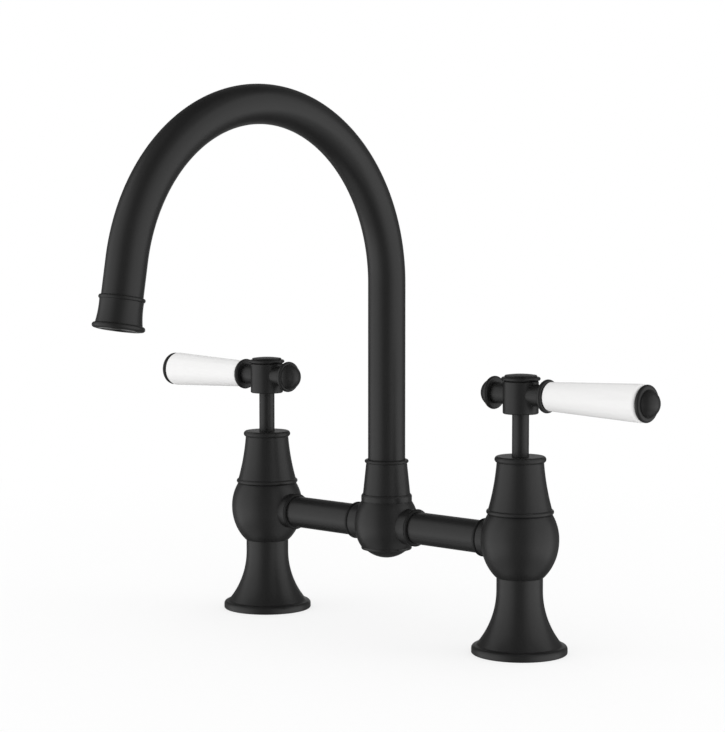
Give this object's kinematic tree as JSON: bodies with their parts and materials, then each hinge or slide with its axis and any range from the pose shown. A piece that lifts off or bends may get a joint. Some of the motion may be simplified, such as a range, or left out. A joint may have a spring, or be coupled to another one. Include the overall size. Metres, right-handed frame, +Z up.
{
  "type": "bridge kitchen faucet",
  "caption": "Bridge kitchen faucet with flared feet, quarter-turn levers with white ceramic grips and a tall swivelling gooseneck spout.",
  "frame": {"origin": "on the counter, midway between the two inlet pillars, under the spout riser", "axes": "+X along the bridge from the hot side to the cold side, -Y the way the spout reaches at rest, +Z up from the counter"},
  "size_m": [0.383, 0.246, 0.3156],
  "materials": {
    "black_coating": "satin matte black powder coating on brass",
    "white_glaze": "glazed white ceramic",
    "disc_ceramic": "lapped alumina",
    "brass": "machined, uncoated",
    "steel": "stainless, turned",
    "rubber": "black nitrile",
    "bush_plastic": "white acetal",
    "jet_plastic": "black moulded",
    "outlet_metal": "plated sleeve"
  },
  "bodies": {
    "tap_body": {"bottom_cap": "black_coating", "bottom_cap_seal": "rubber", "centre_body": "black_coating", "cold_bonnet": "black_coating", "cold_bridge_rings": "rubber", "cold_bridge_seals": "rubber", "cold_bridge_tube": "black_coating", "cold_cartridge_body": "brass", "cold_fixed_disc": "disc_ceramic", "cold_foot": "black_coating", "cold_pillar_body": "black_coating", "cold_seat_seal": "rubber", "foot_gaskets": "rubber", "foot_seals": "rubber", "hot_bonnet": "black_coating", "hot_bridge_rings": "rubber", "hot_bridge_seals": "rubber", "hot_bridge_tube": "black_coating", "hot_cartridge_body": "brass", "hot_fixed_disc": "disc_ceramic", "hot_foot": "black_coating", "hot_pillar_body": "black_coating", "hot_seat_seal": "rubber", "spout_bush": "bush_plastic", "spout_gland": "black_coating", "spout_retaining_screw": "steel"},
    "hot_lever": {"hot_moving_disc": "disc_ceramic", "hot_spindle": "black_coating", "hot_spindle_seals": "rubber", "hot_spindle_clip": "steel", "hot_lever_hub": "black_coating", "hot_lever_screw": "steel", "hot_hub_cap": "black_coating", "hot_knob": "black_coating", "hot_grip_collar": "black_coating", "hot_grip_rod": "steel", "hot_grip_washers": "rubber", "hot_ceramic_grip": "white_glaze", "hot_end_cap": "black_coating"},
    "cold_lever": {"cold_moving_disc": "disc_ceramic", "cold_spindle": "black_coating", "cold_spindle_seals": "rubber", "cold_spindle_clip": "steel", "cold_lever_hub": "black_coating", "cold_lever_screw": "steel", "cold_hub_cap": "black_coating", "cold_knob": "black_coating", "cold_grip_collar": "black_coating", "cold_grip_rod": "steel", "cold_grip_washers": "rubber", "cold_ceramic_grip": "white_glaze", "cold_end_cap": "black_coating"},
    "spout": {"spout_tube": "black_coating", "spout_spigot": "brass", "spout_seals": "rubber", "outlet_skirt": "black_coating", "aerator_housing": "outlet_metal", "aerator_insert": "jet_plastic", "aerator_washer": "rubber"}
  },
  "joints": [
    {"name": "hot_lever_turn", "type": "hinge", "parent": "tap_body", "child": "hot_lever", "pos_m": [-0.1, 0, 0.1451], "axis": [0, 0, 1], "range_deg": [0, 90]},
    {"name": "cold_lever_turn", "type": "hinge", "parent": "tap_body", "child": "cold_lever", "pos_m": [0.1, 0, 0.1451], "axis": [0, 0, 1], "range_deg": [-90, 0]},
    {"name": "spout_swivel", "type": "hinge", "parent": "tap_body", "child": "spout", "pos_m": [0, 0, 0.085], "axis": [0, 0, 1], "continuous": true}
  ]
}
